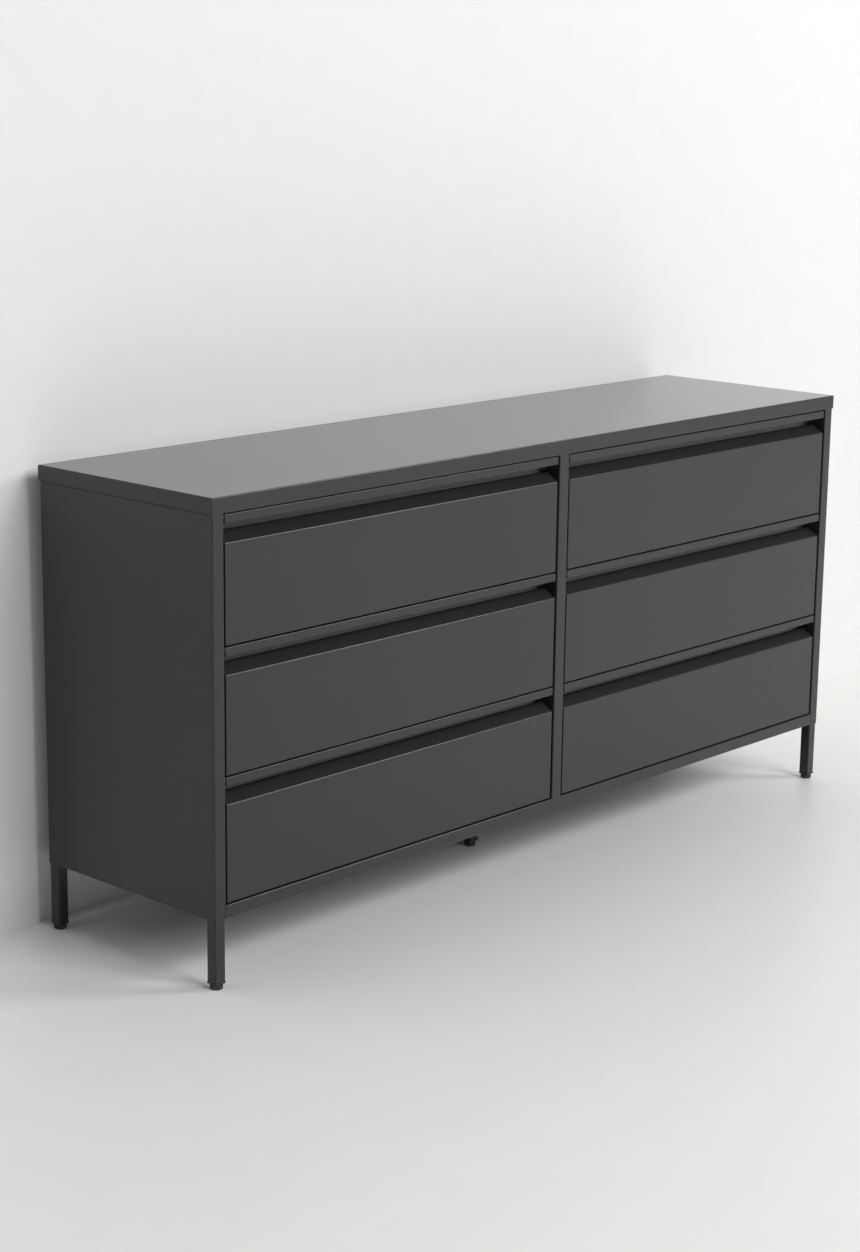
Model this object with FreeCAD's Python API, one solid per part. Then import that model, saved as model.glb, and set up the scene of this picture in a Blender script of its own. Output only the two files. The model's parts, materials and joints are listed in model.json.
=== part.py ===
import FreeCAD, Part
import math
import os

# Low six-drawer cabinet of folded sheet steel, two bays of three drawers on thin square legs.
# Millimetres. X runs to the right, Y to the back and Z up.
# The origin is on the floor, under the middle of the lid. The drawers open towards -Y.

Vector = FreeCAD.Vector

# Overall sizes
lid_width = 1600.0
lid_depth = 402.0
lid_height = 25.0
leg_clearance = 112.0
bottom_rail_height = 21.5
columns = ("left", "right")
rows = ("bottom", "middle", "top")

# Sheets, and the outside radius of their folds, which are sharp inside to keep faces few
carcass_sheet = 1.2
carcass_fold = 2.0
drawer_sheet = 1.0
drawer_fold = 1.4
slide_sheet = 1.2
overrun = 1.0

# Lid
lid_front_overhang = 1.4
lid_side_overhang = 1.0
lid_back_overhang = 2.4
lid_return = 14.0
stiffener_width = 60.0
stiffener_crown = 30.0
stiffener_height = 17.0
stiffener_place_share = 0.25

# Side panels, with the front stile and the back flange folded round the posts from one sheet
stile_return = 45.0
side_floor_flange = 33.0

# Corner posts and the middle leg, all cut from one square tube
post_side = 20.0
post_wall = 1.5
post_radius = 2.0
leg_plate_side = 70.0
leg_plate_thickness = 2.0

# Plastic insert in the end of each tube, and the levelling foot screwed into it
foot_pad_radius = 10.2
foot_pad_height = 7.8
foot_pad_edge = 1.2
foot_stud_radius = 4.0
foot_stud_length = 25.0
foot_running_clearance = 0.08
insert_flange_side = 21.0
insert_flange_height = 2.5
insert_flange_chamfer = 1.0
insert_plug_length = 18.0
insert_plug_clearance = 0.15
insert_gap = 1.3

# Frame members
mullion_width = 24.0
divider_back_lip = 8.0
rail_floor_flange = 40.0
rail_top_flange = 24.0
rail_top_lip = 8.0
floor_flange_height = 16.0
floor_pan_gap = 0.8
back_angle_depth = 25.0
back_angle_height = 25.0
back_panel_inset = 2.0

# Drawers
drawer_height = 198.0
drawer_gap = 2.4
drawer_side_gap = 3.6
drawer_setback = 1.3
front_depth = 25.5
front_lip_radius = 2.5
front_ledge_rise = 16.2
finger_mouth_height = 29.4
front_back_flange = 20.0
front_floor_lip = 18.0
pull_strip_height = 13.8
pull_hem_depth = 3.2
pull_hem_height = 6.0
pull_wall_gap = 2.0
pull_wall_edge = 0.6
box_floor_height = 10.0
box_wall_drop = 38.0
box_front_wall_drop = 6.0
box_back_clearance = 17.4
box_rim = 7.0

# Telescopic slides, three nested channels each
slide_thickness = 12.7
slide_height = 35.0
slide_race = 2.0
slide_front_setback = 28.0
slide_back_setback = 2.0
slide_middle_setback = 2.0
slide_middle_shortfall = 20.0
slide_cabinet_depth = 9.0
slide_running_clearance = 0.5
slide_centre_height = 52.0

# Worked out from the sizes above
lid_front_y = -lid_depth / 2
front_y = lid_front_y + lid_front_overhang
carcass_back_y = lid_depth / 2 - lid_back_overhang
carcass_half_width = lid_width / 2 - lid_side_overhang
stile_width = post_side + 2 * carcass_sheet
stile_inner_x = carcass_half_width - stile_width
mullion_half = mullion_width / 2
drawer_pitch = drawer_height + drawer_gap
first_drawer_z = leg_clearance + bottom_rail_height + drawer_gap
lid_bottom_z = first_drawer_z + len(rows) * drawer_pitch
lid_top_z = lid_bottom_z + lid_height
bay_outer_x = stile_inner_x - drawer_side_gap
bay_inner_x = mullion_half + drawer_side_gap
drawer_face_y = front_y + drawer_setback
box_front_y = drawer_face_y + front_depth
box_back_y = carcass_back_y - box_back_clearance
slide_start_y = front_y + slide_front_setback
slide_length = box_back_y - slide_back_setback - slide_start_y
pull_strip_bottom = drawer_height - pull_strip_height
front_lip_height = pull_strip_bottom - finger_mouth_height
front_ledge_top = front_lip_height + front_ledge_rise
pull_wall_bottom = front_ledge_top + pull_wall_gap
box_wall_top = drawer_height - box_wall_drop
box_front_wall_top = drawer_height - box_front_wall_drop
insert_flange_z = foot_pad_height + insert_gap
leg_bottom_z = insert_flange_z + insert_flange_height
tube_inner_side = post_side - 2 * post_wall
leg_plate_top_z = leg_clearance + carcass_sheet
floor_pan_front_y = front_y + rail_top_flange + floor_pan_gap


def box(low, high):
    """Plain block between two corners."""
    size = [b - a for a, b in zip(low, high)]
    return Part.makeBox(size[0], size[1], size[2], Vector(*low))


def unit(vector):
    """Copy of a vector, one long."""
    copy = Vector(vector)
    copy.normalize()
    return copy


def rounded_path(points, radii):
    """Straight runs and tangent arcs through points, with one radius for each inner point.

    A radius of zero leaves its corner sharp.
    """
    edges = []
    start = points[0]
    for before, corner, after, radius in zip(points, points[1:], points[2:], radii):
        if radius == 0:
            edges.append(Part.makeLine(start, corner))
            start = corner
            continue
        towards = unit(corner - before)
        away = unit(after - corner)
        tangent = radius * math.tan(towards.getAngle(away) / 2)
        first = corner - towards * tangent
        last = corner + away * tangent
        inward = unit(away - towards)
        centre = corner + inward * math.hypot(tangent, radius)
        edges.append(Part.makeLine(start, first))
        edges.append(Part.Arc(first, centre - inward * radius, last).toShape())
        start = last
    edges.append(Part.makeLine(start, points[-1]))
    return edges


def closed_face(corners, radii):
    """Face inside a closed outline, each corner with its own radius."""
    seam = (corners[0] + corners[-1]) * 0.5
    edges = rounded_path([seam] + corners + [seam], radii)
    return Part.Face(Part.Wire(Part.__sortEdges__(edges)))


def folded_face(outline, sheet, fold, place, metal="left"):
    """Section of a sheet folded along an outline, with a radius on the outside of each fold.

    The outline is a list of flat points on one face of the sheet, and metal says on which
    side of it the sheet lies. place turns a flat point into a point in space.
    """
    flat = [Vector(a, b, 0) for a, b in outline]
    turn = 1 if metal == "left" else -1
    normals = []
    for start, end in zip(flat, flat[1:]):
        along = unit(end - start)
        normals.append(Vector(-along.y, along.x, 0) * turn)
    offset = [flat[0] + normals[0] * sheet]
    near_radii = []
    far_radii = []
    for corner, before, after in zip(flat[1:-1], normals, normals[1:]):
        reach = sheet / (1 + before.dot(after))
        offset.append(corner + (before + after) * reach)
        outside_here = before.cross(after).z * turn > 0
        near_radii.append(fold if outside_here else 0)
        far_radii.append(0 if outside_here else fold)
    offset.append(flat[-1] + normals[-1] * sheet)

    near = [place(p.x, p.y) for p in flat]
    far = [place(p.x, p.y) for p in offset]
    edges = rounded_path(near, near_radii)
    edges += rounded_path(far, far_radii)
    edges.append(Part.makeLine(near[0], far[0]))
    edges.append(Part.makeLine(near[-1], far[-1]))
    return Part.Face(Part.Wire(Part.__sortEdges__(edges)))


def in_plan(z):
    """Flat points as X and Y at one height."""
    return lambda a, b: Vector(a, b, z)


def in_side_view(x):
    """Flat points as Y and Z at one X."""
    return lambda a, b: Vector(x, a, b)


def in_front_view(y):
    """Flat points as X and Z at one Y."""
    return lambda a, b: Vector(a, y, b)


def rounded_block(low, high, radius, closed_at):
    """Block with the edges of its closed end rounded."""
    block = box(low, high)
    closed_z = low[2] if closed_at == "bottom" else high[2]
    reach = (high[2] - low[2]) / 4
    edges = [e for e in block.Edges if abs(e.CenterOfMass.z - closed_z) < reach]
    return block.makeFillet(radius, edges)


def open_pan(low, high, sheet, radius, closed_at):
    """Sheet pan with four walls, whose corner seams stay crisp."""
    inner_low = [low[0] + sheet, low[1] + sheet, low[2] + sheet]
    inner_high = [high[0] - sheet, high[1] - sheet, high[2] - sheet]
    if closed_at == "top":
        inner_low[2] = low[2] - overrun
    else:
        inner_high[2] = high[2] + overrun
    outer = rounded_block(low, high, radius, closed_at)
    return outer.cut(box(inner_low, inner_high))


def rim(low, high, width, sheet):
    """Flat frame of sheet that turns inwards from the edge of a pan.

    low and high are the pan's outer corners, at the frame's own height.
    """
    half = sheet / 2
    outer = box(
        (low[0] + half, low[1] + half, low[2]),
        (high[0] - half, high[1] - half, high[2]),
    )
    hole = box(
        (low[0] + width, low[1] + width, low[2] - overrun),
        (high[0] - width, high[1] - width, high[2] + overrun),
    )
    return outer.cut(hole)


def mirrored(shape):
    """The same piece on the other side of the cabinet."""
    return shape.mirror(Vector(0, 0, 0), Vector(1, 0, 0))


def make_lid():
    """Folded pan with a narrow flange that turns in under its edge."""
    low = (-lid_width / 2, lid_front_y, lid_bottom_z)
    high = (lid_width / 2, lid_depth / 2, lid_top_z)
    pan = open_pan(low, high, carcass_sheet, carcass_fold, "top")
    flange_high = (high[0], high[1], lid_bottom_z + carcass_sheet)
    return pan.fuse(rim(low, flange_high, lid_return, carcass_sheet)).removeSplitter()


def make_lid_stiffener(x):
    """Hat section from front to back under the top sheet."""
    top = lid_top_z - carcass_sheet
    bottom = top - stiffener_height
    half = stiffener_width / 2
    crown = stiffener_crown / 2
    front = lid_front_y + lid_return
    outline = [
        (x - half, top - slide_sheet),
        (x - crown, top - slide_sheet),
        (x - crown, bottom),
        (x + crown, bottom),
        (x + crown, top - slide_sheet),
        (x + half, top - slide_sheet),
    ]
    face = folded_face(outline, slide_sheet, 0, in_front_view(front))
    return face.extrude(Vector(0, lid_depth - 2 * lid_return, 0))


def side_edge_waste():
    """What the right-hand skin loses along its top edge, where it folds in under the lid."""
    reach = 2 * carcass_fold
    outline = [
        (carcass_half_width - reach, lid_bottom_z),
        (carcass_half_width, lid_bottom_z),
        (carcass_half_width, lid_bottom_z - reach),
        (carcass_half_width + overrun, lid_bottom_z - reach),
        (carcass_half_width + overrun, lid_bottom_z + overrun),
        (carcass_half_width - reach, lid_bottom_z + overrun),
    ]
    place = in_front_view(front_y - overrun)
    radii = [0, carcass_fold, 0, 0, 0, 0]
    face = closed_face([place(a, b) for a, b in outline], radii)
    return face.extrude(Vector(0, lid_depth, 0))


def make_side_panel():
    """Right-hand side: outer skin, front stile and back flange in one folded sheet."""
    inner = stile_inner_x
    outer = carcass_half_width
    height = lid_bottom_z - leg_clearance
    outline = [
        (inner, front_y + stile_return),
        (inner, front_y),
        (outer, front_y),
        (outer, carcass_back_y),
        (inner, carcass_back_y),
        (inner, carcass_back_y - stile_return),
    ]
    face = folded_face(outline, carcass_sheet, carcass_fold, in_plan(leg_clearance))
    skin = face.extrude(Vector(0, 0, height))
    seat = outer - carcass_sheet / 2
    between = (front_y + stile_return, carcass_back_y - stile_return)
    floor_flange = box(
        (outer - side_floor_flange, between[0], leg_clearance),
        (seat, between[1], leg_clearance + carcass_sheet),
    )
    lid_flange = box(
        (inner, between[0], lid_bottom_z - carcass_sheet),
        (seat, between[1], lid_bottom_z),
    )
    panel = skin.fuse([floor_flange, lid_flange]).removeSplitter()
    return panel.cut(side_edge_waste())


def square_bar(side, radius, height):
    """Upright bar of square section with rounded corners, standing on the origin."""
    half = side / 2
    corners = [
        Vector(half, half, 0),
        Vector(-half, half, 0),
        Vector(-half, -half, 0),
        Vector(half, -half, 0),
    ]
    return closed_face(corners, [radius] * len(corners)).extrude(Vector(0, 0, height))


def make_tube(height):
    """Upright square tube standing on the origin."""
    outer = square_bar(post_side, post_radius, height)
    bore = square_bar(tube_inner_side, 0, height + 2 * overrun)
    bore.translate(Vector(0, 0, -overrun))
    return outer.cut(bore)


def make_centre_leg():
    """Short leg under the middle, with the plate that screws to the cabinet floor."""
    plate_bottom = leg_plate_top_z - leg_plate_thickness
    tube = make_tube(plate_bottom - leg_bottom_z)
    plate = square_bar(leg_plate_side, 0, leg_plate_thickness)
    plate.translate(Vector(0, 0, plate_bottom - leg_bottom_z))
    return tube.fuse(plate).removeSplitter()


def make_insert():
    """Plastic end plug for a tube, with a stepped flange and a hole for the foot's stud."""
    flange = square_bar(insert_flange_side, 0, insert_flange_height)
    reach = insert_flange_height / 4
    upright = [e for e in flange.Edges if abs(e.CenterOfMass.z - insert_flange_height / 2) < reach]
    flange = flange.makeChamfer(insert_flange_chamfer, upright)
    plug = square_bar(tube_inner_side - 2 * insert_plug_clearance, 0, insert_plug_length)
    plug.translate(Vector(0, 0, insert_flange_height))
    bore_radius = foot_stud_radius + foot_running_clearance
    bore_length = insert_flange_height + insert_plug_length + 2 * overrun
    bore = Part.makeCylinder(bore_radius, bore_length, Vector(0, 0, -overrun))
    return flange.fuse(plug).removeSplitter().cut(bore)


def make_foot():
    """Turned foot: a pad with a chamfered edge, and the stud that stands on it."""
    stud_top = foot_pad_height + foot_stud_length
    outline = [
        (0, 0),
        (foot_pad_radius - foot_pad_edge, 0),
        (foot_pad_radius, foot_pad_edge),
        (foot_pad_radius, foot_pad_height),
        (foot_stud_radius, foot_pad_height),
        (foot_stud_radius, stud_top),
        (0, stud_top),
        (0, 0),
    ]
    face = Part.Face(Part.makePolygon([Vector(r, 0, z) for r, z in outline]))
    return face.revolve(Vector(0, 0, 0), Vector(0, 0, 1), 360)


def leg_places():
    """Name and plan centre of each leg."""
    x = carcass_half_width - carcass_sheet - post_side / 2
    front = front_y + carcass_sheet + post_side / 2
    back = carcass_back_y - carcass_sheet - post_side / 2
    return {
        "front_left": (-x, front),
        "front_right": (x, front),
        "back_left": (-x, back),
        "back_right": (x, back),
        "centre": (0, 0),
    }


def make_bottom_rail():
    """Channel across the front, under the drawers."""
    top = leg_clearance + bottom_rail_height
    outline = [
        (front_y + rail_floor_flange, leg_clearance),
        (front_y, leg_clearance),
        (front_y, top),
        (front_y + rail_top_flange, top),
        (front_y + rail_top_flange, top - rail_top_lip),
    ]
    seen = in_side_view(-stile_inner_x)
    face = folded_face(outline, carcass_sheet, carcass_fold, seen, metal="right")
    return face.extrude(Vector(2 * stile_inner_x, 0, 0))


def make_bottom_panel():
    """Floor pan behind the bottom rail, resting on the flanges round it."""
    floor_z = leg_clearance + carcass_sheet
    low = (-stile_inner_x, floor_pan_front_y, floor_z)
    high = (stile_inner_x, carcass_back_y, floor_z + floor_flange_height)
    return open_pan(low, high, carcass_sheet, carcass_fold, "bottom")


def make_centre_divider():
    """Mullion and the two partition walls behind it, folded from one sheet."""
    floor_top = leg_clearance + 2 * carcass_sheet
    back = carcass_back_y - carcass_sheet
    half = mullion_half
    lip = divider_back_lip
    outline = [
        (-half + lip, back),
        (-half, back),
        (-half, front_y),
        (half, front_y),
        (half, back),
        (half - lip, back),
    ]
    face = folded_face(outline, carcass_sheet, carcass_fold, in_plan(floor_top))
    channel = face.extrude(Vector(0, 0, lid_bottom_z - floor_top))
    rail_top = leg_clearance + bottom_rail_height
    rail_notch_back = floor_pan_front_y + carcass_sheet + floor_pan_gap
    rail_notch = box(
        (-mullion_width, front_y - overrun, floor_top - overrun),
        (mullion_width, rail_notch_back, rail_top),
    )
    angle_notch = box(
        (-mullion_width, carcass_back_y - back_angle_depth - overrun, lid_bottom_z - carcass_sheet),
        (mullion_width, carcass_back_y + overrun, lid_bottom_z + overrun),
    )
    return channel.cut([rail_notch, angle_notch])


def make_back_angle():
    """Angle across the top of the back, under the lid."""
    outline = [
        (carcass_back_y - back_angle_depth, lid_bottom_z),
        (carcass_back_y, lid_bottom_z),
        (carcass_back_y, lid_bottom_z - back_angle_height),
    ]
    seen = in_side_view(-stile_inner_x)
    face = folded_face(outline, carcass_sheet, carcass_fold, seen, metal="right")
    return face.extrude(Vector(2 * stile_inner_x, 0, 0))


def make_back_panel():
    """Flat sheet screwed to the flanges round the back."""
    half = carcass_half_width - back_panel_inset
    low = (-half, carcass_back_y, leg_clearance + back_panel_inset)
    high = (half, carcass_back_y + drawer_sheet, lid_bottom_z - back_panel_inset / 2)
    return box(low, high)


def front_envelope(x_low, x_high, inset):
    """Closed form of the drawer front, or the hollow in it with every face moved inwards."""
    face = drawer_face_y + inset
    back = box_front_y - inset
    rise_share = front_ledge_rise / front_depth
    # The ledge slopes, so an inward step square to it is a longer one along the vertical.
    drop = inset * math.hypot(1, rise_share)
    lip = front_lip_height + inset * rise_share - drop
    ledge_top = front_lip_height + (back - drawer_face_y) * rise_share - drop
    rounded = inset == 0
    lip_radius = front_lip_radius if rounded else 0
    edge_radius = drawer_fold if rounded else 0
    side_place = in_side_view(x_low + inset)
    side_corners = [(back, inset), (face, inset), (face, lip), (back, ledge_top)]
    side_radii = [0, edge_radius, lip_radius, edge_radius]
    side_face = closed_face([side_place(a, b) for a, b in side_corners], side_radii)
    seen_from_side = side_face.extrude(Vector(x_high - x_low - 2 * inset, 0, 0))
    plan_corners = [
        Vector(x_low + inset, back, 0),
        Vector(x_low + inset, face, 0),
        Vector(x_high - inset, face, 0),
        Vector(x_high - inset, back, 0),
    ]
    plan_face = closed_face(plan_corners, [0, edge_radius, edge_radius, 0])
    seen_from_above = plan_face.extrude(Vector(0, 0, drawer_height))
    return seen_from_side.common(seen_from_above)


def make_drawer_front(x_low, x_high):
    """Hollow front: face, sloped finger ledge, ends and foot, with flanges round an open back."""
    outer = front_envelope(x_low, x_high, 0)
    inner = front_envelope(x_low, x_high, drawer_sheet)
    window = box(
        (x_low + front_back_flange, box_front_y - 2 * drawer_sheet, front_floor_lip),
        (x_high - front_back_flange, box_front_y + overrun, front_ledge_top - front_back_flange),
    )
    return outer.cut([inner, window])


def make_pull_rail(x_low, x_high):
    """Folded rail above the ledge: hem, strip, top web and the wall behind the fingers."""
    outline = [
        (drawer_face_y + pull_hem_depth, pull_strip_bottom + pull_hem_height),
        (drawer_face_y + pull_hem_depth, pull_strip_bottom),
        (drawer_face_y, pull_strip_bottom),
        (drawer_face_y, drawer_height),
        (box_front_y, drawer_height),
        (box_front_y, pull_wall_bottom),
    ]
    face = folded_face(outline, drawer_sheet, drawer_fold, in_side_view(x_low), metal="right")
    rail = face.extrude(Vector(x_high - x_low, 0, 0))
    eased = []
    for edge in rail.Edges:
        at_wall_foot = abs(edge.CenterOfMass.z - pull_wall_bottom) < drawer_sheet / 4
        on_front = abs(edge.CenterOfMass.y - box_front_y + drawer_sheet) < drawer_sheet / 4
        if at_wall_foot and on_front:
            eased.append(edge)
    return rail.makeChamfer(pull_wall_edge, eased)


def make_drawer_box(x_low, x_high):
    """Tray with turned-in rims, and a taller front wall that carries the front and the rail."""
    sheet = drawer_sheet
    low = (x_low, box_front_y, box_floor_height)
    high = (x_high, box_back_y, box_wall_top)
    tray = open_pan(low, high, sheet, drawer_fold, "bottom")
    turned_in = rim((low[0], low[1], box_wall_top - sheet), high, box_rim, sheet)
    front_wall = box(
        (x_low + box_rim, box_front_y, box_wall_top - box_rim),
        (x_high - box_rim, box_front_y + sheet, box_front_wall_top),
    )
    return tray.fuse([turned_in, front_wall]).removeSplitter()


def slide_channel(web, mouth, height, side, wall_x, y_start, length):
    """One member of a slide: a channel whose corners lean in as races for the balls.

    web and mouth are depths counted from the wall that the slide is screwed to, and side
    is 1 where the drawer lies to the right of that wall.
    """
    half = height / 2
    race = slide_race if mouth > web else -slide_race
    outline = [
        (mouth, half),
        (web + race, half),
        (web, half - slide_race),
        (web, slide_race - half),
        (web + race, -half),
        (mouth, -half),
    ]
    if mouth < web:
        outline.reverse()
    place = lambda a, b: Vector(wall_x + side * a, y_start, slide_centre_height + b)
    face = folded_face(outline, slide_sheet, 0, place)
    return face.extrude(Vector(0, length, 0))


def slide_members(wall_x, side):
    """Cabinet, middle and drawer members of one slide, closed."""
    step = slide_sheet + slide_running_clearance
    cabinet = slide_channel(
        0, slide_cabinet_depth, slide_height, side, wall_x, slide_start_y, slide_length
    )
    middle = slide_channel(
        step, slide_cabinet_depth + step, slide_height - 2 * step, side, wall_x,
        slide_start_y + slide_middle_setback, slide_length - slide_middle_shortfall,
    )
    drawer = slide_channel(
        slide_thickness, 2 * step + slide_race, slide_height - 4 * step, side, wall_x,
        slide_start_y, slide_length,
    )
    return cabinet, middle, drawer


def drawer_pieces():
    """Every piece of one right-hand drawer, as if its bottom edge stood at height zero."""
    left_slide = slide_members(mullion_half, 1)
    right_slide = slide_members(stile_inner_x, -1)
    box_low = mullion_half + slide_thickness
    box_high = stile_inner_x - slide_thickness
    return {
        "drawer_front": make_drawer_front(bay_inner_x, bay_outer_x),
        "pull_rail": make_pull_rail(bay_inner_x, bay_outer_x),
        "drawer_box": make_drawer_box(box_low, box_high),
        "slide_cabinet": Part.makeCompound([left_slide[0], right_slide[0]]),
        "slide_middle": Part.makeCompound([left_slide[1], right_slide[1]]),
        "slide_drawer": Part.makeCompound([left_slide[2], right_slide[2]]),
    }


def build():
    """All pieces of the cabinet by name."""
    parts = {}
    parts["lid"] = make_lid()
    stiffener_x = lid_width * stiffener_place_share
    parts["lid_stiffeners"] = Part.makeCompound(
        [make_lid_stiffener(-stiffener_x), make_lid_stiffener(stiffener_x)]
    )
    parts["side_panel_right"] = make_side_panel()
    parts["side_panel_left"] = mirrored(parts["side_panel_right"])
    parts["centre_divider"] = make_centre_divider()
    parts["back_angle"] = make_back_angle()
    parts["back_panel"] = make_back_panel()
    parts["bottom_panel"] = make_bottom_panel()
    parts["bottom_rail"] = make_bottom_rail()

    for name, (x, y) in leg_places().items():
        if name == "centre":
            leg_name = "centre_leg"
            leg = make_centre_leg()
        else:
            leg_name = "corner_post_" + name
            leg = make_tube(lid_bottom_z - leg_bottom_z)
        leg.translate(Vector(x, y, leg_bottom_z))
        parts[leg_name] = leg
        insert = make_insert()
        insert.translate(Vector(x, y, insert_flange_z))
        parts["leg_insert_" + name] = insert
        foot = make_foot()
        foot.translate(Vector(x, y, 0))
        parts["levelling_foot_" + name] = foot

    pieces = drawer_pieces()
    for column in columns:
        for index, row in enumerate(rows):
            lift = Vector(0, 0, first_drawer_z + index * drawer_pitch)
            for name, piece in pieces.items():
                placed = piece.copy() if column == "right" else mirrored(piece)
                placed.translate(lift)
                parts["_".join((name, column, row))] = placed
    return parts


os.makedirs("parts", exist_ok=True)
for node, shape in build().items():
    shape.exportStep("parts/" + node + ".step")
    print(node, len(shape.Solids), round(shape.Volume / 1000, 2), shape.isValid())
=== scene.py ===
"""Looks of a low six-drawer cabinet of folded sheet steel.

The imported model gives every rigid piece. This script dresses their surfaces, adds the screws
that hold the sheets, and sets the room, the lamps and the camera of the photograph.
Lengths are in metres, unless a name ends in mm.
"""

import json
import logging
import math
from dataclasses import dataclass
from enum import Enum

import bpy
from mathutils import Matrix, Vector


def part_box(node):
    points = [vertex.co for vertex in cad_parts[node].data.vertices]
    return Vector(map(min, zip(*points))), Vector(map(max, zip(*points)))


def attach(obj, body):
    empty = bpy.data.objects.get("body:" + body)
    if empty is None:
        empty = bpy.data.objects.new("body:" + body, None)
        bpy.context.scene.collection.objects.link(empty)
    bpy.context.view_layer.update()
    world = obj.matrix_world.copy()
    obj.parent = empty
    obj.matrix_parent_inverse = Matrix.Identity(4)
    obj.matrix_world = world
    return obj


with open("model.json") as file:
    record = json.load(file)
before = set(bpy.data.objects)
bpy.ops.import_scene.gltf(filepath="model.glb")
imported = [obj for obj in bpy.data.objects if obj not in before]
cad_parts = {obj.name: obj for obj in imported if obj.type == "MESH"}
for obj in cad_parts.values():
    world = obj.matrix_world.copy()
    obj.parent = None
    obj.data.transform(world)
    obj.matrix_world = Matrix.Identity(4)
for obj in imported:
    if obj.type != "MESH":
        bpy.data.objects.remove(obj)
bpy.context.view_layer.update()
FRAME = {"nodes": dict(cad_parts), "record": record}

LOG = logging.getLogger("drawer_cabinet")
COLUMNS = ("left", "right")
ROWS = ("bottom", "middle", "top")


def linear(hex_colour: str) -> tuple[float, float, float, float]:
    """Turns an sRGB hex colour into linear light.

    Args:
        hex_colour: A hash sign and six hex digits.

    Returns:
        Red, green, blue and a full alpha.
    """
    parts = []
    for start in (1, 3, 5):
        value = int(hex_colour[start : start + 2], 16) / 255
        parts.append(value / 12.92 if value <= 0.04045 else ((value + 0.055) / 1.055) ** 2.4)
    return parts[0], parts[1], parts[2], 1.0


def per_metre(size_mm: float) -> float:
    """Texture scale at which one cell of a pattern measures size_mm."""
    return 1000 / size_mm


def add_node(
    tree: bpy.types.NodeTree,
    kind: str,
    inputs: dict[str | int, object] | None = None,
    **settings: object,
) -> bpy.types.Node:
    """Adds one node with its settings, its constants and its links.

    Args:
        tree: The tree that gets the node.
        kind: Blender's name for the type of node.
        inputs: What goes into each socket: another node's output socket, or a constant.
        settings: Properties of the node itself, such as its operation.

    Returns:
        The new node.
    """
    node = tree.nodes.new(kind)
    for name, value in settings.items():
        setattr(node, name, value)
    for key, value in (inputs or {}).items():
        sources = value if isinstance(value, list) else [value]
        for source in sources:
            if isinstance(source, bpy.types.NodeSocket):
                tree.links.new(source, node.inputs[key])
            else:
                node.inputs[key].default_value = source
    return node


def new_material(name: str) -> tuple[bpy.types.Material, bpy.types.NodeTree]:
    """Makes an empty node material.

    Args:
        name: What the real finish is called.

    Returns:
        The material and its node tree, with no node in it.
    """
    material = bpy.data.materials.new(name)
    material.use_nodes = True
    material.node_tree.nodes.clear()
    return material, material.node_tree


@dataclass(frozen=True)
class PowderCoat:
    """Polyester powder, sprayed dry on sheet steel and baked: satin, with a faint orange peel.

    The eye gets a near-black grey with soft reflections that brighten at a low angle.
    """

    name: str = "satin anthracite powder coat"
    colour: str = "#222523"
    mottle_colour: str = "#272a28"
    roughness: float = 0.45
    roughness_spread: float = 0.04
    ior: float = 1.25
    # The clear skin that the powder flows into lifts flat views and hardly shows from the front.
    coat: float = 1.0
    coat_roughness: float = 0.12
    coat_ior: float = 1.31
    # The peel of the baked film is about 2 to 3 mm across and some hundredths deep.
    peel_mm: float = 2.6
    peel_depth_mm: float = 0.012
    # Real powder grain is near 0.1 mm, drawn coarser so that a close view shows it.
    grain_mm: float = 0.55
    grain_depth_mm: float = 0.004
    relief_detail: float = 2.0
    # Grains of a slightly paler grey lie among the others.
    mottle_mm: float = 1.1
    mottle_detail: float = 4.0
    # Thin sheet lies a little uneven between its folds, which bends long reflections.
    sheet_wave_mm: float = 210.0
    sheet_wave_depth_mm: float = 0.35
    sheet_wave_detail: float = 0.0

    def material(self) -> bpy.types.Material:
        """Builds the finish as a node material.

        Returns:
            The material, ready for a piece.
        """
        material, tree = new_material(self.name)
        place = add_node(tree, "ShaderNodeTexCoord").outputs["Object"]
        noise = {
            name: add_node(
                tree,
                "ShaderNodeTexNoise",
                {"Vector": place, "Scale": per_metre(size_mm), "Detail": detail},
            ).outputs["Fac"]
            for name, size_mm, detail in (
                ("mottle", self.mottle_mm, self.mottle_detail),
                ("peel", self.peel_mm, self.relief_detail),
                ("grain", self.grain_mm, self.relief_detail),
                ("sheet wave", self.sheet_wave_mm, self.sheet_wave_detail),
            )
        }
        colour = add_node(
            tree,
            "ShaderNodeMix",
            {
                "Factor": noise["mottle"],
                6: linear(self.colour),
                7: linear(self.mottle_colour),
            },
            data_type="RGBA",
        )
        gloss = add_node(
            tree,
            "ShaderNodeMapRange",
            {
                "Value": noise["peel"],
                "To Min": self.roughness - self.roughness_spread,
                "To Max": self.roughness + self.roughness_spread,
            },
        )
        normal = None
        for name, depth_mm in (
            ("sheet wave", self.sheet_wave_depth_mm),
            ("peel", self.peel_depth_mm),
            ("grain", self.grain_depth_mm),
        ):
            relief = {"Height": noise[name], "Distance": depth_mm / 1000}
            if normal is not None:
                relief["Normal"] = normal
            normal = add_node(tree, "ShaderNodeBump", relief).outputs["Normal"]
        surface = add_node(
            tree,
            "ShaderNodeBsdfPrincipled",
            {
                "Base Color": colour.outputs[2],
                "Roughness": gloss.outputs["Result"],
                "IOR": self.ior,
                "Normal": normal,
                "Coat Weight": self.coat,
                "Coat Roughness": self.coat_roughness,
                "Coat IOR": self.coat_ior,
            },
        )
        add_node(tree, "ShaderNodeOutputMaterial", {"Surface": surface.outputs["BSDF"]})
        return material


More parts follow.
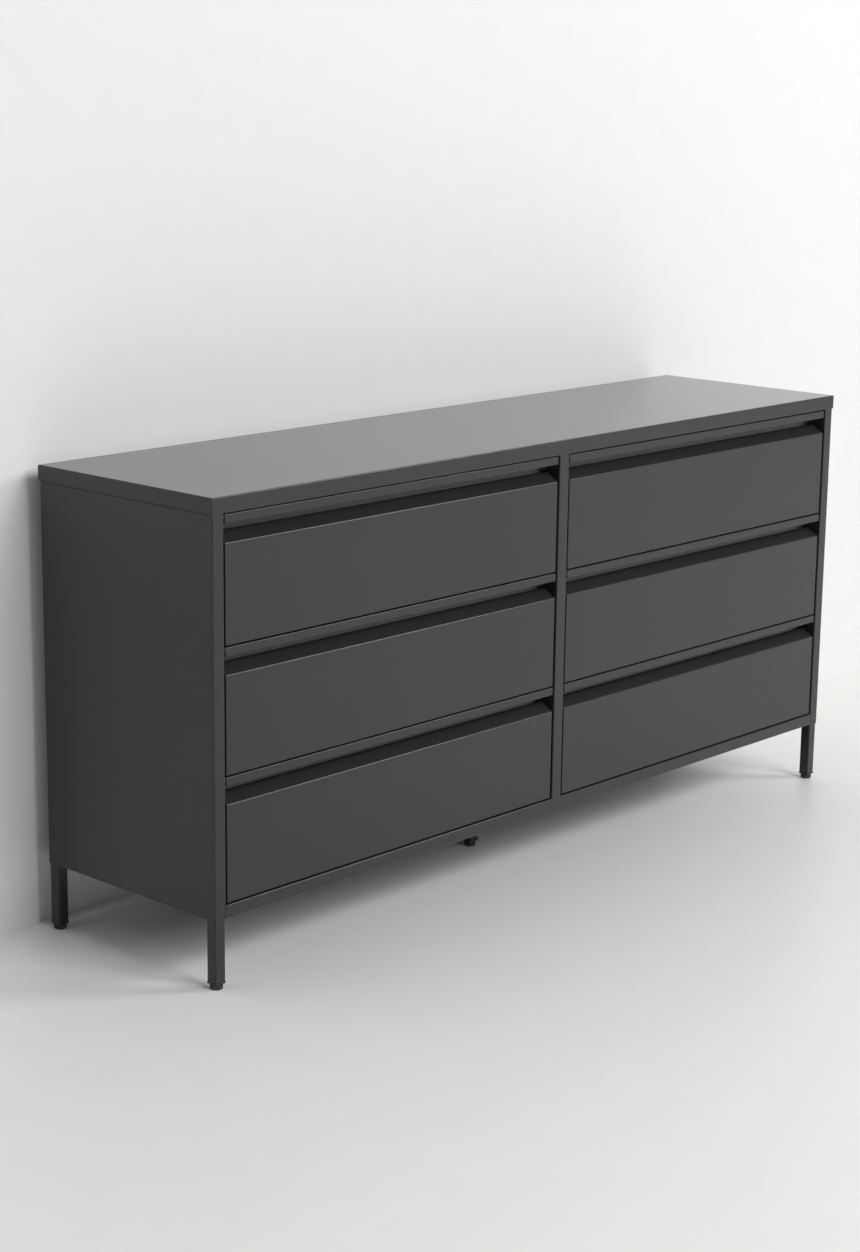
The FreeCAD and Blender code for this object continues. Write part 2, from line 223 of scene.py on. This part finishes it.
@dataclass(frozen=True)
class ZincPlate:
    """Bright zinc on rolled steel strip: a cool grey metal with fine lines along the strip.

    The eye gets a soft shine that is drawn out across the rolling lines.
    """

    name: str = "bright zinc plated steel"
    colour: str = "#c3c6c9"
    dull_colour: str = "#a9adb1"
    roughness: float = 0.33
    roughness_spread: float = 0.08
    # Rolling lines are a few tenths of a millimetre wide and centimetres long.
    line_mm: float = 0.7
    line_length_mm: float = 60.0
    line_depth_mm: float = 0.004
    line_detail: float = 3.0

    def material(self) -> bpy.types.Material:
        """Builds the finish as a node material.

        Returns:
            The material, ready for a piece.
        """
        material, tree = new_material(self.name)
        place = add_node(tree, "ShaderNodeTexCoord").outputs["Object"]
        across = per_metre(self.line_mm)
        stretched = add_node(
            tree,
            "ShaderNodeMapping",
            {"Vector": place, "Scale": (across, per_metre(self.line_length_mm), across)},
        )
        lines = add_node(
            tree,
            "ShaderNodeTexNoise",
            {
                "Vector": stretched.outputs["Vector"],
                "Scale": 1.0,
                "Detail": self.line_detail,
            },
        )
        colour = add_node(
            tree,
            "ShaderNodeMix",
            {
                "Factor": lines.outputs["Fac"],
                6: linear(self.dull_colour),
                7: linear(self.colour),
            },
            data_type="RGBA",
        )
        gloss = add_node(
            tree,
            "ShaderNodeMapRange",
            {
                "Value": lines.outputs["Fac"],
                "To Min": self.roughness - self.roughness_spread,
                "To Max": self.roughness + self.roughness_spread,
            },
        )
        bump = add_node(
            tree,
            "ShaderNodeBump",
            {"Height": lines.outputs["Fac"], "Distance": self.line_depth_mm / 1000},
        )
        surface = add_node(
            tree,
            "ShaderNodeBsdfPrincipled",
            {
                "Base Color": colour.outputs[2],
                "Metallic": 1.0,
                "Roughness": gloss.outputs["Result"],
                "Normal": bump.outputs["Normal"],
            },
        )
        add_node(tree, "ShaderNodeOutputMaterial", {"Surface": surface.outputs["BSDF"]})
        return material


@dataclass(frozen=True)
class MouldedPlastic:
    """Black polyamide, injection moulded in a spark-eroded tool, so its skin is fine-grained.

    The eye gets a deep matt black with broad, weak highlights.
    """

    name: str
    colour: str
    roughness: float = 0.5
    ior: float = 1.53
    grain_mm: float = 0.5
    grain_depth_mm: float = 0.02

    def material(self) -> bpy.types.Material:
        """Builds the finish as a node material.

        Returns:
            The material, ready for a piece.
        """
        material, tree = new_material(self.name)
        place = add_node(tree, "ShaderNodeTexCoord").outputs["Object"]
        grain = add_node(
            tree,
            "ShaderNodeTexVoronoi",
            {"Vector": place, "Scale": per_metre(self.grain_mm)},
        )
        bump = add_node(
            tree,
            "ShaderNodeBump",
            {"Height": grain.outputs["Distance"], "Distance": self.grain_depth_mm / 1000},
        )
        surface = add_node(
            tree,
            "ShaderNodeBsdfPrincipled",
            {
                "Base Color": linear(self.colour),
                "Roughness": self.roughness,
                "IOR": self.ior,
                "Normal": bump.outputs["Normal"],
            },
        )
        add_node(tree, "ShaderNodeOutputMaterial", {"Surface": surface.outputs["BSDF"]})
        return material


class Slot(Enum):
    """Finish slots of the record that the pieces draw on."""

    CABINET_PAINT = "cabinet_paint"
    DRAWER_BOX_PAINT = "drawer_box_paint"
    SLIDE_ZINC = "slide_zinc"
    INSERT_PLASTIC = "insert_plastic"
    FOOT_PLASTIC = "foot_plastic"


FINISHES: dict[Slot, PowderCoat | ZincPlate | MouldedPlastic] = {
    Slot.CABINET_PAINT: PowderCoat(),
    Slot.DRAWER_BOX_PAINT: PowderCoat(name="anthracite powder coat inside the drawers"),
    Slot.SLIDE_ZINC: ZincPlate(),
    Slot.INSERT_PLASTIC: MouldedPlastic(name="black moulded tube insert", colour="#151615"),
    Slot.FOOT_PLASTIC: MouldedPlastic(name="black moulded foot", colour="#131413"),
}


class PaintShop:
    """Holds one material for each slot and dresses the model's own pieces in them."""

    def __init__(self) -> None:
        """Builds the materials."""
        self.materials = {slot: finish.material() for slot, finish in FINISHES.items()}

    def dress_frame(self) -> None:
        """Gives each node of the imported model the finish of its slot, and reports it."""
        subparts = FRAME["record"]["subparts"]
        slots = {entry["node"]: Slot(entry["material_slot"]) for entry in subparts}
        for name, piece in FRAME["nodes"].items():
            material = self.materials[slots[name]]
            for surface in piece.material_slots:
                surface.material = material
            LOG.info("%s: %s", name, material.name)
        LOG.info("dressed %d nodes", len(slots))


@dataclass(frozen=True)
class PanHeadScrew:
    """Sizes of one kind of pan-head screw with a cross recess."""

    head_radius: float = 0.0040
    head_height: float = 0.0013
    sides: int = 20
    rim_height_share: float = 0.5
    # Each ring of the rounded crown: how far it rises, and how much narrower it is.
    crown_rings: tuple[tuple[float, float], ...] = ((0.35, 0.88), (0.15, 0.72))
    recess_reach_share: float = 0.62
    recess_width_share: float = 0.2
    recess_depth_share: float = 0.7

    def _head(
        self,
        tree: bpy.types.GeometryNodeTree,
        radius: bpy.types.NodeSocket,
        height: bpy.types.NodeSocket,
    ) -> bpy.types.NodeSocket:
        """Builds one head: a rim, a crown that steps in, and a cross recess cut into it.

        Args:
            tree: The tree that gets the nodes.
            radius: Radius of the head.
            height: Height of the head.

        Returns:
            The head's mesh, with its underside at height 0 and its axis along Z.
        """
        # A cutter is as tall as the head, so its middle is half a head above its lower end.
        lift_share = 1.0 - self.recess_depth_share + 0.5
        size = {
            name: add_node(
                tree, "ShaderNodeMath", {0: whole, 1: share}, operation="MULTIPLY"
            ).outputs[0]
            for name, whole, share in (
                ("rim", height, self.rim_height_share),
                ("half rim", height, self.rim_height_share / 2),
                ("lift", height, lift_share),
                ("long side", radius, 2 * self.recess_reach_share),
                ("short side", radius, 2 * self.recess_width_share),
            )
        }
        vector = {
            name: add_node(tree, "ShaderNodeCombineXYZ", {"X": x, "Y": y, "Z": z}).outputs[0]
            for name, x, y, z in (
                ("up half a rim", 0.0, 0.0, size["half rim"]),
                ("up to the recess", 0.0, 0.0, size["lift"]),
                ("bar along x", size["long side"], size["short side"], height),
                ("bar along y", size["short side"], size["long side"], height),
            )
        }
        rim = add_node(
            tree,
            "GeometryNodeMeshCylinder",
            {"Vertices": self.sides, "Radius": radius, "Depth": size["rim"]},
            fill_type="NGON",
        )
        body, top = rim.outputs["Mesh"], rim.outputs["Top"]
        for rise_share, narrow_share in self.crown_rings:
            rise = add_node(
                tree, "ShaderNodeMath", {0: height, 1: rise_share}, operation="MULTIPLY"
            )
            raised = add_node(
                tree,
                "GeometryNodeExtrudeMesh",
                {"Mesh": body, "Selection": top, "Offset Scale": rise.outputs[0]},
                mode="FACES",
            )
            narrowed = add_node(
                tree,
                "GeometryNodeScaleElements",
                {
                    "Geometry": raised.outputs["Mesh"],
                    "Selection": raised.outputs["Top"],
                    "Scale": narrow_share,
                },
            )
            body, top = narrowed.outputs["Geometry"], raised.outputs["Top"]
        seated = add_node(
            tree,
            "GeometryNodeTransform",
            {"Geometry": body, "Translation": vector["up half a rim"]},
        )
        cutters = []
        for name in ("bar along x", "bar along y"):
            bar = add_node(tree, "GeometryNodeMeshCube", {"Size": vector[name]})
            lifted = add_node(
                tree,
                "GeometryNodeTransform",
                {"Geometry": bar.outputs["Mesh"], "Translation": vector["up to the recess"]},
            )
            cutters.append(lifted.outputs["Geometry"])
        head = add_node(
            tree,
            "GeometryNodeMeshBoolean",
            {"Mesh 1": seated.outputs["Geometry"], "Mesh 2": cutters},
            operation="DIFFERENCE",
            solver="EXACT",
        )
        return head.outputs["Mesh"]

    def _rotation(
        self, tree: bpy.types.GeometryNodeTree, seed: bpy.types.NodeSocket
    ) -> bpy.types.NodeSocket:
        """Aims each head along its facing, with its recess at an angle of its own.

        Args:
            tree: The tree that gets the nodes.
            seed: Fixes the angles of the recesses.

        Returns:
            The rotation of each head.
        """
        facing = add_node(
            tree, "GeometryNodeInputNamedAttribute", {"Name": "facing"}, data_type="FLOAT_VECTOR"
        )
        aimed = add_node(
            tree,
            "FunctionNodeAlignRotationToVector",
            {"Vector": facing.outputs["Attribute"]},
            axis="Z",
        )
        spin = add_node(tree, "FunctionNodeRandomValue", {"Seed": seed}, data_type="FLOAT")
        angle = add_node(
            tree, "ShaderNodeMath", {0: spin.outputs[1], 1: math.pi}, operation="MULTIPLY"
        )
        turn = add_node(
            tree,
            "FunctionNodeAxisAngleToRotation",
            {"Axis": (0.0, 0.0, 1.0), "Angle": angle.outputs[0]},
        )
        turned = add_node(
            tree,
            "FunctionNodeRotateRotation",
            {"Rotation": aimed.outputs[0], "Rotate By": turn.outputs[0]},
            rotation_space="LOCAL",
        )
        return turned.outputs[0]

    def tree(self) -> bpy.types.GeometryNodeTree:
        """Builds the node tree that puts one head on each point of a mesh.

        Returns:
            The tree. Its points carry the head's direction in an attribute named facing.
        """
        tree = bpy.data.node_groups.new("pan head screws", "GeometryNodeTree")
        sockets = tree.interface
        for name, kind in (
            ("Geometry", "NodeSocketGeometry"),
            ("Head radius", "NodeSocketFloat"),
            ("Head height", "NodeSocketFloat"),
            ("Seed", "NodeSocketInt"),
            ("Finish", "NodeSocketMaterial"),
        ):
            sockets.new_socket(name, in_out="INPUT", socket_type=kind)
        sockets.new_socket("Geometry", in_out="OUTPUT", socket_type="NodeSocketGeometry")
        given = add_node(tree, "NodeGroupInput").outputs
        placed = add_node(
            tree,
            "GeometryNodeInstanceOnPoints",
            {
                "Points": given["Geometry"],
                "Instance": self._head(tree, given["Head radius"], given["Head height"]),
                "Rotation": self._rotation(tree, given["Seed"]),
            },
        )
        real = add_node(
            tree, "GeometryNodeRealizeInstances", {"Geometry": placed.outputs["Instances"]}
        )
        dressed = add_node(
            tree,
            "GeometryNodeSetMaterial",
            {"Geometry": real.outputs["Geometry"], "Material": given["Finish"]},
        )
        add_node(tree, "NodeGroupOutput", {"Geometry": dressed.outputs["Geometry"]})
        return tree


@dataclass(frozen=True)
class Fixing:
    """One screw: where the underside of its head rests, and which way the head faces."""

    place: Vector
    facing: Vector


class Screws:
    """Makes the screw heads of one body at a time from one node tree."""

    seed: int = 7

    def __init__(self, screw: PanHeadScrew, finish: bpy.types.Material) -> None:
        """Keeps the kind of screw, its tree and its finish.

        Args:
            screw: The sizes of the head.
            finish: The material of the heads.
        """
        self.screw = screw
        self.finish = finish
        self.tree = screw.tree()

    def _set_inputs(self, modifier: bpy.types.NodesModifier) -> None:
        """Writes the sizes into the modifier, by the identifiers of the sockets.

        Args:
            modifier: The modifier that holds the tree, before its first evaluation.
        """
        values = {
            "Head radius": self.screw.head_radius,
            "Head height": self.screw.head_height,
            "Seed": self.seed,
            "Finish": self.finish,
        }
        for item in self.tree.interface.items_tree:
            if item.item_type == "SOCKET" and item.in_out == "INPUT" and item.name in values:
                modifier[item.identifier] = values[item.name]

    def make(self, name: str, body: str, fixings: list[Fixing]) -> bpy.types.Object:
        """Makes the heads of one body as a plain mesh that rides on it.

        Args:
            name: Name of the new piece.
            body: The body of the model that carries the screws.
            fixings: Every screw on that body.

        Returns:
            The finished piece.
        """
        points = bpy.data.meshes.new(name + "_points")
        points.from_pydata([fixing.place for fixing in fixings], [], [])
        facing = points.attributes.new("facing", "FLOAT_VECTOR", "POINT")
        for value, fixing in zip(facing.data, fixings):
            value.vector = fixing.facing
        holder = bpy.data.objects.new(name + "_points", points)
        bpy.context.scene.collection.objects.link(holder)
        modifier = holder.modifiers.new("screws", "NODES")
        modifier.node_group = self.tree
        self._set_inputs(modifier)
        evaluated = holder.evaluated_get(bpy.context.evaluated_depsgraph_get())
        mesh = bpy.data.meshes.new_from_object(evaluated)
        holder.modifiers.remove(modifier)
        bpy.data.objects.remove(holder)
        piece = bpy.data.objects.new(name, mesh)
        mesh.name = name
        bpy.context.scene.collection.objects.link(piece)
        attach(piece, body)
        LOG.info("%s: %d screws on %s, %d faces", name, len(fixings), body, len(mesh.polygons))
        return piece


def spread(low: float, high: float, count: int) -> list[float]:
    """Evenly spaced places from low to high, both ends included."""
    return [low + (high - low) * index / (count - 1) for index in range(count)]


@dataclass
class CaseFixings:
    """Screws of the case: round the back panel, and in the plate of the middle leg."""

    screws: Screws
    edge_inset: float = 0.0105
    top_inset: float = 0.0115
    bottom_inset: float = 0.0085
    across_count: int = 9
    up_count: int = 5
    lip_offset: float = 0.0075
    plate_inset: float = 0.009
    plate_thickness: float = 0.002

    def back(self) -> list[Fixing]:
        """Screws along the four edges of the back panel and up its middle.

        Returns:
            The screws. None stands halfway along a long edge, where the divider's own row ends.
        """
        low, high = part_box("back_panel")
        columns = spread(low[0] + self.edge_inset, high[0] - self.edge_inset, self.across_count)
        levels = spread(low[2] + self.bottom_inset, high[2] - self.top_inset, self.up_count)
        places = [(x, z) for x in columns for z in (levels[0], levels[-1]) if x != 0]
        places += [(x, z) for x in (columns[0], columns[-1]) for z in levels[1:-1]]
        places += [(self.lip_offset, z) for z in levels[1:-1]]
        return [Fixing(Vector((x, high[1], z)), Vector((0, 1, 0))) for x, z in places]

    def leg_plate(self) -> list[Fixing]:
        """Screws that hold the plate of the middle leg up against the floor of the case.

        Returns:
            The four screws, heads down.
        """
        low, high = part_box("centre_leg")
        xs = (low[0] + self.plate_inset, high[0] - self.plate_inset)
        ys = (low[1] + self.plate_inset, high[1] - self.plate_inset)
        z = high[2] - self.plate_thickness
        return [Fixing(Vector((x, y, z)), Vector((0, 0, -1))) for x in xs for y in ys]

    def build(self) -> None:
        """Makes the screws of the case."""
        self.screws.make("case_screws", "cabinet", self.back() + self.leg_plate())


@dataclass
class DrawerFixings:
    """Screws inside each drawer: through the front wall, and through the sides to the slides."""

    screws: Screws
    sheet: float = 0.001
    front_count: int = 5
    front_inset: float = 0.075
    front_drop: float = 0.010
    slide_insets: tuple[float, ...] = (0.045, 0.175, 0.300)
    slide_lift: float = 0.042

    def front_wall(self, name: str) -> list[Fixing]:
        """Screws through the wall that carries the front and the pull rail.

        Args:
            name: Column and row of the drawer.

        Returns:
            The screws, heads inside the drawer.
        """
        low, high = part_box("drawer_box_" + name)
        y = low[1] + self.sheet
        xs = spread(low[0] + self.front_inset, high[0] - self.front_inset, self.front_count)
        z = high[2] - self.front_drop
        return [Fixing(Vector((x, y, z)), Vector((0, 1, 0))) for x in xs]

    def sides(self, name: str) -> list[Fixing]:
        """Screws through the two side walls into the slides.

        Args:
            name: Column and row of the drawer.

        Returns:
            The screws, heads inside the drawer.
        """
        low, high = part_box("drawer_box_" + name)
        fixings = []
        for x, inward in ((low[0] + self.sheet, 1), (high[0] - self.sheet, -1)):
            for inset in self.slide_insets:
                place = Vector((x, low[1] + inset, low[2] + self.slide_lift))
                fixings.append(Fixing(place, Vector((inward, 0, 0))))
        return fixings

    def build(self) -> None:
        """Makes the screws of every drawer."""
        for column in COLUMNS:
            for row in ROWS:
                name = column + "_" + row
                fixings = self.front_wall(name) + self.sides(name)
                self.screws.make("drawer_screws_" + name, "drawer_" + name, fixings)


class Facing(Enum):
    """Which way a flat stage surface looks."""

    UP = "up"
    FORWARD = "forward"


@dataclass(frozen=True)
class PaintedWall:
    """Pale paint, rolled on plaster or on a floor screed.

    The eye gets a flat off-white with faint roller and trowel marks.
    """

    name: str
    colour: str
    shade_colour: str
    roughness: float
    mark_mm: float
    mark_depth_mm: float
    mark_detail: float = 6.0

    def material(self) -> bpy.types.Material:
        """Builds the finish, clear from behind so that a view from there sees in.

        Returns:
            The material, ready for a flat surface.
        """
        material, tree = new_material(self.name)
        place = add_node(tree, "ShaderNodeTexCoord").outputs["Object"]
        marks = add_node(
            tree,
            "ShaderNodeTexNoise",
            {
                "Vector": place,
                "Scale": per_metre(self.mark_mm),
                "Detail": self.mark_detail,
            },
        )
        colour = add_node(
            tree,
            "ShaderNodeMix",
            {
                "Factor": marks.outputs["Fac"],
                6: linear(self.shade_colour),
                7: linear(self.colour),
            },
            data_type="RGBA",
        )
        bump = add_node(
            tree,
            "ShaderNodeBump",
            {"Height": marks.outputs["Fac"], "Distance": self.mark_depth_mm / 1000},
        )
        surface = add_node(
            tree,
            "ShaderNodeBsdfPrincipled",
            {
                "Base Color": colour.outputs[2],
                "Roughness": self.roughness,
                "Normal": bump.outputs["Normal"],
            },
        )
        clear = add_node(tree, "ShaderNodeBsdfTransparent")
        behind = add_node(tree, "ShaderNodeNewGeometry").outputs["Backfacing"]
        both = add_node(
            tree,
            "ShaderNodeMixShader",
            {0: behind, 1: surface.outputs["BSDF"], 2: clear.outputs["BSDF"]},
        )
        add_node(tree, "ShaderNodeOutputMaterial", {"Surface": both.outputs["Shader"]})
        return material


@dataclass(frozen=True)
class Lamp:
    """One soft box: its place, the point that it looks at, its two sides and its power."""

    name: str
    place: tuple[float, float, float]
    target: tuple[float, float, float]
    size: tuple[float, float]
    power: float
    colour: str = "#ffffff"

    def build(self) -> None:
        """Adds the lamp to the scene."""
        light = bpy.data.lights.new(self.name, "AREA")
        light.shape = "RECTANGLE"
        light.size, light.size_y = self.size
        light.energy = self.power
        light.color = linear(self.colour)[:3]
        lamp = bpy.data.objects.new(self.name, light)
        lamp.visible_camera = False
        aim = Vector(self.target) - Vector(self.place)
        turn = aim.to_track_quat("-Z", "Y").to_matrix().to_4x4()
        lamp.matrix_world = Matrix.Translation(Vector(self.place)) @ turn
        bpy.context.scene.collection.objects.link(lamp)


@dataclass(frozen=True)
class Viewpoint:
    """The photograph's camera, solved from the straight edges of the cabinet."""

    place: tuple[float, float, float] = (-3.1570, -2.8065, 1.4039)
    look: tuple[float, float, float] = (0.715432, 0.659697, -0.230123)
    right: tuple[float, float, float] = (0.680001, -0.733106, 0.012456)
    focal_mm: float = 70.586
    sensor_mm: float = 36.0
    clip_end: float = 100.0

    def build(self) -> None:
        """Adds the camera and makes it the scene's own."""
        lens = bpy.data.cameras.new("photograph camera")
        lens.lens = self.focal_mm
        lens.sensor_width = self.sensor_mm
        lens.sensor_fit = "AUTO"
        lens.clip_end = self.clip_end
        camera = bpy.data.objects.new("photograph camera", lens)
        look = Vector(self.look).normalized()
        right = (Vector(self.right) - look * look.dot(Vector(self.right))).normalized()
        up = right.cross(look)
        turn = Matrix((right, up, -look)).transposed().to_4x4()
        camera.matrix_world = Matrix.Translation(Vector(self.place)) @ turn
        bpy.context.scene.collection.objects.link(camera)
        bpy.context.scene.camera = camera


@dataclass
class Studio:
    """Pale floor and wall, soft lamps, plain world light and the camera."""

    reach: float = 6.0
    wall_y: float = 0.232
    wall_height: float = 6.0
    # An opening in the wall, hidden behind the cabinet, so that its back isn't in the dark.
    gap_half_width: float = 0.76
    gap_bottom: float = 0.125
    gap_top: float = 0.72
    world_colour: str = "#f3f4f4"
    world_strength: float = 0.2
    # The camera sees the world brighter than it lights the room, and a shiny face mirrors a
    # share of that.
    world_seen_strength: float = 1.0
    world_glint: float = 0.6
    lamp_target: tuple[float, float, float] = (0.0, 0.0, 0.35)

    def surface(self, name: str, facing: Facing, finish: PaintedWall) -> None:
        """Adds one large flat surface that isn't part of the cabinet.

        Args:
            name: Name of the surface.
            facing: Whether it lies as a floor or stands as a wall.
            finish: What it is painted with.
        """
        far = self.reach
        if facing is Facing.UP:
            corners = [(-far, -far, 0), (far, -far, 0), (far, far, 0), (-far, far, 0)]
            faces = [(0, 1, 2, 3)]
        else:
            y, top, half = self.wall_y, self.wall_height, self.gap_half_width
            corners = [(-far, y, 0), (far, y, 0), (far, y, top), (-far, y, top)]
            corners += [(x, y, self.gap_bottom) for x in (-half, half)]
            corners += [(x, y, self.gap_top) for x in (half, -half)]
            faces = [(side, (side + 1) % 4, (side + 1) % 4 + 4, side + 4) for side in range(4)]
        mesh = bpy.data.meshes.new(name)
        mesh.from_pydata(corners, [], faces)
        mesh.materials.append(finish.material())
        sheet = bpy.data.objects.new(name, mesh)
        bpy.context.scene.collection.objects.link(sheet)
        if facing is Facing.FORWARD:
            # Light from behind the wall still reaches the back of the cabinet.
            sheet.visible_shadow = False

    def world(self) -> None:
        """Even light from all round."""
        world = bpy.data.worlds.new("plain world")
        world.use_nodes = True
        tree = world.node_tree
        tree.nodes.clear()
        glow = add_node(
            tree,
            "ShaderNodeBackground",
            {"Color": linear(self.world_colour), "Strength": self.world_strength},
        )
        seen = add_node(
            tree,
            "ShaderNodeBackground",
            {"Color": linear(self.world_colour), "Strength": self.world_seen_strength},
        )
        path = add_node(tree, "ShaderNodeLightPath").outputs
        glint = add_node(
            tree,
            "ShaderNodeMath",
            {0: path["Is Glossy Ray"], 1: self.world_glint},
            operation="MULTIPLY",
        )
        watched = add_node(
            tree,
            "ShaderNodeMath",
            {0: path["Is Camera Ray"], 1: glint.outputs[0]},
            operation="MAXIMUM",
        )
        both = add_node(
            tree,
            "ShaderNodeMixShader",
            {
                0: watched.outputs[0],
                1: glow.outputs["Background"],
                2: seen.outputs["Background"],
            },
        )
        add_node(tree, "ShaderNodeOutputWorld", {"Surface": both.outputs["Shader"]})
        bpy.context.scene.world = world

    def build(self) -> None:
        """Adds the floor, the wall, the world, the lamps and the camera."""
        floor = PaintedWall(
            name="satin pale floor paint",
            colour="#f4f4f2",
            shade_colour="#f0f0ee",
            roughness=0.42,
            mark_mm=90.0,
            mark_depth_mm=0.3,
        )
        wall = PaintedWall(
            name="matt white wall paint",
            colour="#e7e7e6",
            shade_colour="#e3e3e2",
            roughness=0.8,
            mark_mm=60.0,
            mark_depth_mm=0.6,
        )
        self.surface("studio_floor", Facing.UP, floor)
        self.surface("studio_wall", Facing.FORWARD, wall)
        self.world()
        lamps = (
            Lamp(
                name="key soft box",
                place=(5.0, -4.75, 4.3),
                target=self.lamp_target,
                size=(2.2, 1.8),
                power=190.0,
            ),
            Lamp(
                name="front soft box",
                place=(0.3, -6.9, 4.6),
                target=self.lamp_target,
                size=(4.0, 3.4),
                power=376.0,
            ),
        )
        for lamp in lamps:
            lamp.build()
        Viewpoint().build()


def main() -> None:
    """Dresses the model, adds its fasteners and sets the room."""
    logging.basicConfig(level=logging.INFO, format="%(message)s")
    bpy.context.scene.view_settings.view_transform = "Standard"
    paint_shop = PaintShop()
    paint_shop.dress_frame()
    screws = Screws(PanHeadScrew(), paint_shop.materials[Slot.SLIDE_ZINC])
    CaseFixings(screws).build()
    DrawerFixings(screws).build()
    Studio().build()
    LOG.info("room, lamps and camera are in place")


if __name__ == "__main__":
    main()
